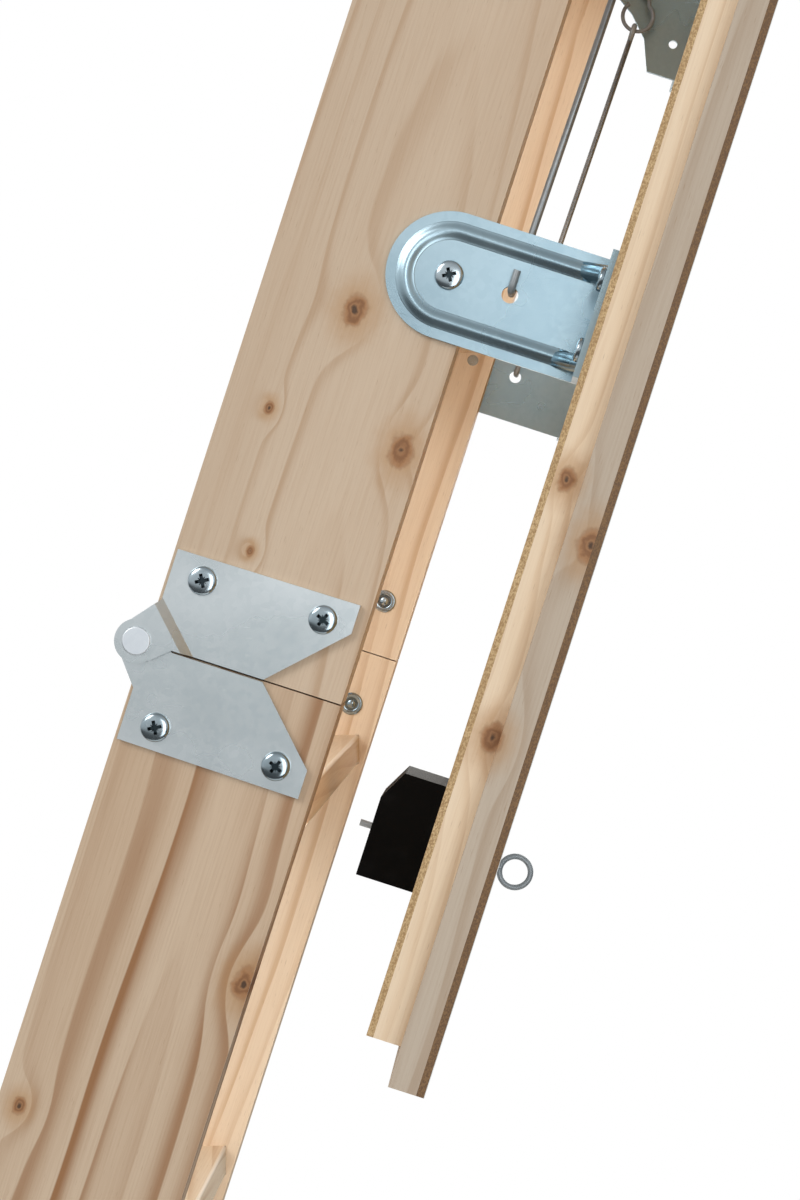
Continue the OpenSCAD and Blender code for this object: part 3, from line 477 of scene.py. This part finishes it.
def crown_bead(bm):
    """Presses a rounded bead along the bracket's nose in place of the square one."""
    y_sign = math.copysign(1.0, sum(v.co.y for v in bm.verts))
    lift = [BEAD_LOW_Z + (NOSE_Z - BEAD_LOW_Z) * i / 12 for i in range(12)]
    # points of the bead's middle line, each with the way that its outer side faces
    run = [(BEAD_RUN_R, z, 1.0, 0.0) for z in lift]
    for a in [math.pi * i / 40 for i in range(41)]:
        x, z = math.cos(a), math.sin(a)
        run.append((BEAD_RUN_R * x, NOSE_Z + BEAD_RUN_R * z, x, z))
    run += [(-BEAD_RUN_R, z, -1.0, 0.0) for z in reversed(lift)]
    spots = [i / 16 - 0.5 for i in range(17)]
    section = [
        (t * BEAD_WIDE, BEAD_HIGH * math.cos(math.pi * t) ** 2 - 0.01 * MM) for t in spots
    ]
    section += [(0.5 * BEAD_WIDE, -BEAD_ROOT), (-0.5 * BEAD_WIDE, -BEAD_ROOT)]
    rings = []
    for x, z, normal_x, normal_z in run:
        ring = []
        for side, high in section:
            y = y_sign * (STILE_OUT + SHEET_T + high)
            spot = Vector((BRACKET_X + x + normal_x * side, y, z + normal_z * side))
            ring.append(bm.verts.new(OPENED @ spot))
        rings.append(ring)
    made = [bm.faces.new(rings[0]), bm.faces.new(rings[-1])]
    for first, second in zip(rings, rings[1:]):
        for i in range(len(section)):
            j = (i + 1) % len(section)
            made.append(bm.faces.new((first[i], first[j], second[j], second[i])))
    bmesh.ops.recalc_face_normals(bm, faces=made)
    for face in made:
        face.smooth = True


def refine(node, material, width, segments=3, axes=None, along=None, wide=0.0, bead=False):
    """A CAD node's own shape with its edges rounded by width, or by wide where they run along.
    axes turns a point into its board's own axes, for grain. bead crowns a lower bracket's bead."""
    mesh = frame["nodes"][node].data.copy()
    bm = bmesh.new()
    bm.from_mesh(mesh)
    if bead:
        flatten_bead(bm)
    ease(bm, width, segments, along, wide, SHORTEST_RIM if bead else 0.0)
    if bead:
        for face in bm.faces:
            face.smooth = abs(face.normal.y) < PARALLEL
        crown_bead(bm)
    bm.to_mesh(mesh)
    bm.free()
    if axes:
        add_grain(mesh, axes)
    piece = new_object(node + "_shown", mesh)
    normals = piece.modifiers.new("normals", "WEIGHTED_NORMAL")
    normals.keep_sharp = True
    settle(piece, material, node)


SECTIONS = ("upper", "middle", "lower")
SIDES = ("near", "far")
LADDER_RUN = OPENED.to_3x3() @ Vector((1, 0, 0))
rounded_run = {"along": LADDER_RUN, "wide": 2.2 * MM}
for section in SECTIONS:
    refine(f"{section}_stile_near", section + "_pine", 0.2 * MM, axes=shut, **rounded_run)
    refine(f"{section}_stile_far", "far_pine", 0.2 * MM, axes=shut, **rounded_run)
    refine(f"{section}_treads", "tread_pine", 1.6 * MM, axes=crossed_shut)
for side in SIDES:
    refine(f"frame_side_{side}", "frame_pine", 1.0 * MM, axes=Vector)
    refine(f"lower_bracket_{side}", "blue_zinc", 0.6 * MM, bead=True)
    refine(f"upper_bracket_{side}", "blue_zinc", 0.5 * MM)
    refine(f"arm_post_{side}", "blue_zinc", 0.5 * MM)
    refine(f"lever_{side}", "blue_zinc", 0.6 * MM)
    refine(f"link_{side}", "blue_zinc", 0.6 * MM)
for end in ("hinged", "lock"):
    refine(f"frame_end_{end}", "frame_pine", 1.0 * MM, axes=crossed)
refine("stop_battens", "frame_pine", 0.8 * MM, axes=Vector)
refine("frame_seal", "foam", 0.5 * MM)
refine("hatch_outer_rails", "outer_pine", 0.45 * MM, axes=shut)
refine("hatch_inner_rails", "inner_pine", 0.35 * MM, axes=shut)
refine("hatch_attic_board", "attic_board", 0.3 * MM, axes=shut)
refine("hatch_room_board", "room_board", 0.3 * MM, axes=shut)
refine("hatch_insulation", "insulation", 0.3 * MM)
for fold in (1, 2):
    refine(f"fold_{fold}_upper_plates", "zinc", 0.45 * MM)
    refine(f"fold_{fold}_lower_plates", "zinc", 0.45 * MM)
    refine(f"fold_{fold}_pins", "satin", 0.45 * MM)
for part in ("fixed_leaves", "moving_leaves", "pins"):
    refine("hatch_hinge_" + part, "zinc", 0.3 * MM)
refine("striker", "zinc", 0.3 * MM)
refine("lock_case", "black", 0.9 * MM)
refine("foot_caps", "rubber", 0.7 * MM)
refine("pull_eye", "wire", 0.2 * MM)
refine("latch_bolt", "zinc", 0.4 * MM)
refine("lock_base", "zinc", 0.3 * MM)


# ---------- screws and bolts ----------


HEAD_HIGH = 0.5  # of a head's radius
HEAD_RIM = 0.34  # height of a head's straight rim, of the head's height
# The cross recess: turn in degrees, and length and width of half a blade, of a head's radius
BLADES = ((0, 0.54, 0.13), (90, 0.54, 0.13), (45, 0.36, 0.035), (135, 0.36, 0.035))
BLADE_FLOOR = 0.30  # of the head's height
BLADE_TALL = 0.9
BLADE_TAPER = 0.62  # how wide a blade is at its floor


def lathe(outline):
    """A closed mesh turned about z from an outline of (radius, z)."""
    bm = bmesh.new()
    turned = [bm.verts.new((r, 0, z)) for r, z in outline]
    edges = [bm.edges.new(pair) for pair in zip(turned, turned[1:])]
    bmesh.ops.spin(
        bm, geom=turned + edges, cent=(0, 0, 0), axis=(0, 0, 1), angle=math.tau, steps=40
    )
    bmesh.ops.remove_doubles(bm, verts=bm.verts, dist=TURNED_WELD)
    bmesh.ops.recalc_face_normals(bm, faces=bm.faces)
    return new_mesh("turned", bm)


def head_mesh(radius):
    """A pan head, seated on z = 0 and pointing up."""
    high = HEAD_HIGH * radius
    rise = [(0.0, 0.0), (0.94, 0.0), (1.0, 0.12), (1.0, HEAD_RIM)]
    bend = 2 / 3
    dome = []
    for angle in [math.radians(d) for d in range(12, 91, 13)]:
        z = HEAD_RIM + (1 - HEAD_RIM) * math.sin(angle) ** bend
        dome.append((math.cos(angle) ** bend, z))
    return lathe([(r * radius, z * high) for r, z in rise + dome])


def cross_cutter(radius):
    """The recess: two crossed tapering blades and a thinner pair between them."""
    bm = bmesh.new()
    for turn, length, width in BLADES:
        made = bmesh.ops.create_cube(bm, size=1.0)
        for vertex in made["verts"]:
            top = vertex.co.z > 0
            taper = 1.0 if top else BLADE_TAPER
            vertex.co.x *= 2 * length * radius * taper
            vertex.co.y *= 2 * width * radius * taper
            vertex.co.z = (BLADE_FLOOR + top * BLADE_TALL) * HEAD_HIGH * radius
            vertex.co = Matrix.Rotation(math.radians(turn), 3, "Z") @ vertex.co
    bmesh.ops.recalc_face_normals(bm, faces=bm.faces)
    return new_mesh("cross_cutter", bm)


def cut_head(radius):
    """A head with a recess cut in it, and the recess marked for painted shade."""
    head = new_object("head", head_mesh(radius))
    cutter = new_object("cutter", cross_cutter(radius))
    boolean = head.modifiers.new("recess", "BOOLEAN")
    boolean.operation = "DIFFERENCE"
    boolean.solver = "EXACT"
    boolean.use_self = True
    boolean.object = cutter
    mesh = applied(head)
    bpy.data.objects.remove(cutter)
    bm = bmesh.new()
    bm.from_mesh(mesh)
    painted_light_layer = bm.faces.layers.float.new("painted_light_and_shade")
    # faces of the recess are marked for painted shade
    for face in bm.faces:
        middle = face.calc_center_median()
        near_axis = math.hypot(middle.x, middle.y) < 0.56 * radius
        if near_axis and (middle.z < 0.44 * radius or abs(face.normal.z) < 0.5):
            face[painted_light_layer] = -1.0
    bm.to_mesh(mesh)
    bm.free()
    return mesh


def islands(node):
    """The vertex positions of each separate solid in a CAD node, in the mesh's own order."""
    bm = bmesh.new()
    bm.from_mesh(frame["nodes"][node].data)
    bmesh.ops.remove_doubles(bm, verts=bm.verts, dist=WELD)
    reached = set()
    found = []
    for first in bm.verts:
        if first in reached:
            continue
        reached.add(first)
        queue = [first]
        group = []
        while queue:
            vertex = queue.pop()
            group.append(vertex.co.copy())
            for edge in vertex.link_edges:
                other = edge.other_vert(vertex)
                if other not in reached:
                    reached.add(other)
                    queue.append(other)
        found.append(group)
    bm.free()
    return found


def add_shank(bm, place, radius, low, high):
    bmesh.ops.create_cone(
        bm, cap_ends=True, segments=24, radius1=radius, radius2=radius, depth=high - low,
        matrix=place @ Matrix.Translation((0, 0, (low + high) / 2)),
    )


def flanged_nut():
    """A round flange with a well round the bolt's end, hanging down from z = 0."""
    # outline in millimetres: distance from the axis, and depth
    rim = [(0.0, 0.0), (6.2, 0.0), (6.2, 0.5), (5.6, 1.1), (3.9, 1.3), (3.7, 1.2)]
    well = [(3.6, 0.2), (2.3, 0.2), (2.2, 1.6), (1.8, 1.9), (0.0, 1.9)]
    mesh = lathe([(r * MM, -z * MM) for r, z in rim + well])
    painted_light_layer = mesh.attributes.new("painted_light_and_shade", "FLOAT", "FACE")
    for polygon in mesh.polygons:
        across = math.hypot(polygon.center.x, polygon.center.y)
        in_well = 2.2 * MM < across < 3.75 * MM and abs(polygon.center.z) > 0.1 * MM
        # the well is marked for painted shade, darker than the flange
        painted_light_layer.data[polygon.index].value = -0.6 if in_well else 0.0
    return mesh


def screws(node, towards, head_r, shank_r, nut=False):
    """Rebuilds a node of fasteners. towards gives, for a solid's middle, the way its head faces."""
    head = cut_head(head_r)
    bm = bmesh.new()
    bm.faces.layers.float.new("painted_light_and_shade")
    for index, group in enumerate(islands(node)):
        middle = sum(group, Vector()) / len(group)
        turn = ZAXIS.rotation_difference(towards(middle)).to_matrix().to_4x4()
        local = [turn.inverted() @ p for p in group]
        top = max(p.z for p in local)
        bottom = min(p.z for p in local)
        rim = [p for p in local if p.z > top - 0.9 * head_r]
        x = (min(p.x for p in rim) + max(p.x for p in rim)) / 2
        y = (min(p.y for p in rim) + max(p.y for p in rim)) / 2
        seat = top - HEAD_HIGH * head_r
        place = turn @ Matrix.Translation((x, y, seat))
        spin = Matrix.Rotation(math.radians(37 * index + 11), 4, "Z")
        added = [(head.copy(), place @ spin)]
        if nut:
            through = SHEET_T + STILE_T
            added.append((flanged_nut(), place @ Matrix.Translation((0, 0, -through))))
            bottom = seat - through
        for copy, at in added:
            copy.transform(at)
            bm.from_mesh(copy)
            bpy.data.meshes.remove(copy)
        add_shank(bm, place, shank_r, bottom - seat, 0.2 * MM)
    shade_smooth(bm, 38)
    piece = new_object(node + "_shown", new_mesh(node + "_shown", bm))
    settle(piece, "screw_zinc", node)


def outwards(middle):
    return Vector((0, math.copysign(1, middle.y), 0))


OFF_HATCH = OPENED.to_3x3() @ ZAXIS


def off_hatch(middle):
    return OFF_HATCH


HEAD = 5.7 * MM
for section in SECTIONS:
    screws(section + "_bolts", outwards, HEAD, 3.0 * MM, nut=True)
screws("stand_off_wood_screws", outwards, HEAD, 3.0 * MM)
screws("frame_corner_screws", outwards, 4.5 * MM, 2.15 * MM)
screws("bracket_screws", off_hatch, 4.8 * MM, 2.5 * MM)
screws("lock_screws", off_hatch, 3.0 * MM, 1.75 * MM)
screws("arm_post_screws", lambda middle: Vector((-1, 0, 0)), 4.8 * MM, 2.55 * MM)
screws("striker_screws", lambda middle: Vector((1, 0, 0)), 4.2 * MM, 2.25 * MM)
screws("hinge_frame_screws", lambda middle: -ZAXIS, 4.0 * MM, 2.15 * MM)
screws("hinge_hatch_screws", lambda middle: -OFF_HATCH, 4.0 * MM, 2.15 * MM)


# ---------- wire and springs ----------


def wire_piece(name, runs, radius):
    """Round wires through runs of points in the shut frame, as one piece of the open ladder."""
    curve = bpy.data.curves.new(name, "CURVE")
    curve.dimensions = "3D"
    curve.bevel_depth = radius
    curve.bevel_resolution = 4
    curve.use_fill_caps = True
    for points in runs:
        spline = curve.splines.new("POLY")
        spline.points.add(len(points) - 1)
        for target, point in zip(spline.points, points):
            target.co = (*(OPENED @ Vector(point)), 1.0)
    mesh = applied(new_object(name, curve))
    for polygon in mesh.polygons:
        polygon.use_smooth = True
    return new_object(name, mesh)


def rounded(points, radius):
    """A path whose corners are replaced by smooth bends."""
    steps = 8
    points = [Vector(p) for p in points]
    path = [points[0]]
    for before, corner, after in zip(points, points[1:], points[2:]):
        start = corner + (before - corner).normalized() * radius
        end = corner + (after - corner).normalized() * radius
        for i in range(steps + 1):
            t = i / steps
            path.append(start * (1 - t) ** 2 + corner * 2 * t * (1 - t) + end * t**2)
    path.append(points[-1])
    return path


def arc(centre, u, v, radius, start, end, steps):
    """Points round a circle in the plane of u and v, from start to end degrees."""
    path = []
    for i in range(steps + 1):
        a = math.radians(start + (end - start) * i / steps)
        path.append(Vector(centre) + (Vector(u) * math.cos(a) + Vector(v) * math.sin(a)) * radius)
    return path


# The counterbalance, in the shut frame
ROD_HOLE_X = -0.2902
ROD_HOLE_Z = 0.0614
SPRING_Z = 0.058
SPRING_Y = 0.181
HOOK_X = -0.0878
STUD = (0.470, 0.050)
ROD_R = 1.5 * MM
WIRE_R = 1.1 * MM
COIL_R = 6.4 * MM
HOOK_R = 8.5 * MM
EYE_R = 4.0 * MM
PITCH = 2.55 * MM
TOUCH = 0.1 * MM  # room between two wires that hold each other
ROD_END = 8.0 * MM
ROD_BEND_R = 2.6 * MM
STUD_R = 3.0 * MM

# The spring round the pull eye's spindle
LOCK_COIL_R = 3.6 * MM
LOCK_WIRE_R = 0.45 * MM
LOCK_HALF = 4.1 * MM  # half its length
LOCK_TURNS = 6


def tie_rod(y_sign):
    """Points of a rod, from its eye at the spring's hook to its bent end outside the bracket."""
    y = y_sign * SPRING_Y
    eye_x = HOOK_X - EYE_R + ROD_R + WIRE_R + TOUCH
    outside = y_sign * (STILE_OUT + SHEET_T + 2.9 * MM)
    eye = arc((eye_x, y, SPRING_Z), (1, 0, 0), (0, 1, 0), EYE_R, 150, -180, 30)
    corners = [
        eye[-1],
        (ROD_HOLE_X, y, ROD_HOLE_Z),
        (ROD_HOLE_X, outside, ROD_HOLE_Z),
        (ROD_HOLE_X + ROD_END, outside, ROD_HOLE_Z),
    ]
    return eye + rounded(corners, ROD_BEND_R)


def tension_spring(side, y_sign):
    """Close-wound coils between an open hook on the rod and an eye on the lever's stud."""
    y = y_sign * SPRING_Y
    low = Vector((HOOK_X, y, SPRING_Z))
    high = Vector((STUD[0], y, STUD[1]))
    along = (high - low).normalized()
    up = Vector((0, y_sign, 0)).cross(along).normalized()
    eye_r = STUD_R + WIRE_R + TOUCH
    first = 2 * HOOK_R + 5 * MM
    last = (high - low).length - eye_r - 14 * MM
    hook = arc(low + along * HOOK_R, -along, up, HOOK_R, -128, 150, 40)
    turns = int((last - first) / PITCH)
    steps = turns * 14
    coil = []
    for i in range(steps + 1):
        t = i / steps
        angle = math.tau * turns * t
        # the first and last turns taper towards the hook and the eye
        radius = COIL_R * min(1.0, 0.3 + 8 * t, 0.3 + 8 * (1 - t))
        middle = low + along * (first + (last - first) * t)
        coil.append(middle + (up * math.cos(angle) + YAXIS * math.sin(angle)) * radius)
    eye = arc(high, -along, up, eye_r, 20, 340, 24)
    node = f"tension_spring_{side}"
    piece = wire_piece(node + "_shown", [hook + coil + eye], WIRE_R)
    settle(piece, "spring", node)
    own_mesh(piece)


def lock_spring():
    """The compression spring round the pull eye's spindle, which the eye's collar shortens."""
    low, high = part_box("lock_spring")
    middle = shut((low + high) / 2)
    steps = LOCK_TURNS * 16
    points = []
    for i in range(steps + 1):
        angle = math.tau * LOCK_TURNS * i / steps
        lift = 0.9 * LOCK_HALF * (2 * i / steps - 1)
        turned = Vector((LOCK_COIL_R * math.cos(angle), LOCK_COIL_R * math.sin(angle), lift))
        points.append(middle + turned)
    piece = wire_piece("lock_spring_shown", [points], LOCK_WIRE_R)
    settle(piece, "spring", "lock_spring")
    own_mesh(piece)


settle(wire_piece("tie_rods_shown", [tie_rod(-1), tie_rod(1)], ROD_R), "wire", "tie_rods")
for side, y_sign in (("near", -1), ("far", 1)):
    tension_spring(side, y_sign)
lock_spring()


# ---------- camera, light and floor ----------

LENS = 65.1
SHIFT = (-0.106, -0.035)
CAMERA_AWAY = 1.033
LOOKED_AT = OPENED @ Vector((-0.3867, 0, 0.0237))
INNER_AT = OPENED @ Vector((-0.42, -0.12, 0.12))
INNER_SIZE = (0.10, 1.3)
COOL = (0.93, 0.97, 1.0)
WARM = (1.0, 0.97, 0.93)
WARM_BACK = (1.0, 0.97, 0.92)
# Brightness of the surroundings, from straight below, 0, to straight above, 1
SKY = ((0.0, 0.10), (0.38, 0.16), (0.47, 0.85), (0.62, 1.0), (1.0, 0.45))
SKY_STRENGTH = 0.75
FLOOR_R = 1.5


def aim(made, place, target):
    made.location = place
    made.rotation_euler = (Vector(target) - Vector(place)).to_track_quat("-Z", "Y").to_euler()


def area_light(name, offset, size, power, colour=(1, 1, 1)):
    """A rectangular light that faces the middle of the picture from offset."""
    light = bpy.data.lights.new(name, "AREA")
    light.shape = "RECTANGLE"
    light.size, light.size_y = size
    light.energy = power
    light.color = colour
    made = new_object(name, light)
    aim(made, LOOKED_AT + Vector(offset), LOOKED_AT)
    return made


def inner_strip(power, in_metal):
    """A strip between the stiles, along the ladder, that lights the far side."""
    strip = area_light("inner", (0, 0, 0), INNER_SIZE, power, WARM)
    back = -YAXIS
    axes = Matrix((LADDER_RUN.cross(back), LADDER_RUN, back)).transposed()
    strip.matrix_world = Matrix.Translation(INNER_AT) @ axes.to_4x4()
    strip.visible_camera = False
    strip.visible_glossy = in_metal


def make_camera():
    data = bpy.data.cameras.new("camera")
    data.lens = LENS
    data.sensor_width = 36
    data.shift_x, data.shift_y = SHIFT
    camera = new_object("camera", data)
    aim(camera, LOOKED_AT + Vector((0, -CAMERA_AWAY, 0)), LOOKED_AT)
    bpy.context.scene.camera = camera


def make_world():
    """White to the camera, and to the object dark below and brightest near the horizon."""
    world = bpy.data.worlds.new("studio")
    bpy.context.scene.world = world
    world.use_nodes = True
    made = Nodes(world.node_tree)
    direction = made.node("TexCoord", {}).outputs["Generated"]
    height = made.node("SeparateXYZ", {0: direction}).outputs[2]
    height = made.node("Math", {0: height, 1: 0.5, 2: 0.5}, operation="MULTIPLY_ADD").outputs[0]
    shade = made.node("ValToRGB", {0: height})
    elements = shade.color_ramp.elements
    while len(elements) < len(SKY):
        elements.new(0.5)
    for element, (at, level) in zip(elements, SKY):
        element.position = at
        element.color = (0.95 * level, 0.98 * level, level, 1.0)
    lit = made.tree.nodes["Background"]
    made.put(lit.inputs["Color"], shade.outputs[0])
    made.put(lit.inputs["Strength"], SKY_STRENGTH)
    seen = made.node("Background", {"Color": (1, 1, 1, 1), "Strength": 1.0})
    ray = made.node("LightPath", {}).outputs["Is Camera Ray"]
    mix = made.node("MixShader", {0: ray, 1: lit.outputs[0], 2: seen.outputs[0]})
    made.put(made.tree.nodes["World Output"].inputs["Surface"], mix.outputs[0])


def make_floor():
    """A pale round floor under the feet."""
    bm = bmesh.new()
    centre = (cad_box[0] + cad_box[1]) / 2
    place = Matrix.Translation((centre.x, centre.y, cad_box[0].z - MM))
    bmesh.ops.create_circle(bm, cap_ends=True, segments=96, radius=FLOOR_R, matrix=place)
    floor = new_object("floor", new_mesh("floor", bm))
    s = Shader("floor_pale", Roughness=0.7)
    s.colour((0.86, 0.86, 0.85, 1.0))
    floor.data.materials.append(s.material)


make_camera()
area_light("key", (-1.5, -1.9, 1.5), (1.2, 1.2), 24)
area_light("fill", (0.55, -2.4, -0.3), (0.8, 2.0), 14, COOL)
inner_strip(1.3, in_metal=False)
inner_strip(0.75, in_metal=True)
area_light("back", (0.6, 2.2, 0.8), (2.0, 2.0), 40, WARM_BACK)
make_world()
make_floor()
bpy.context.scene.view_settings.view_transform = "Standard"
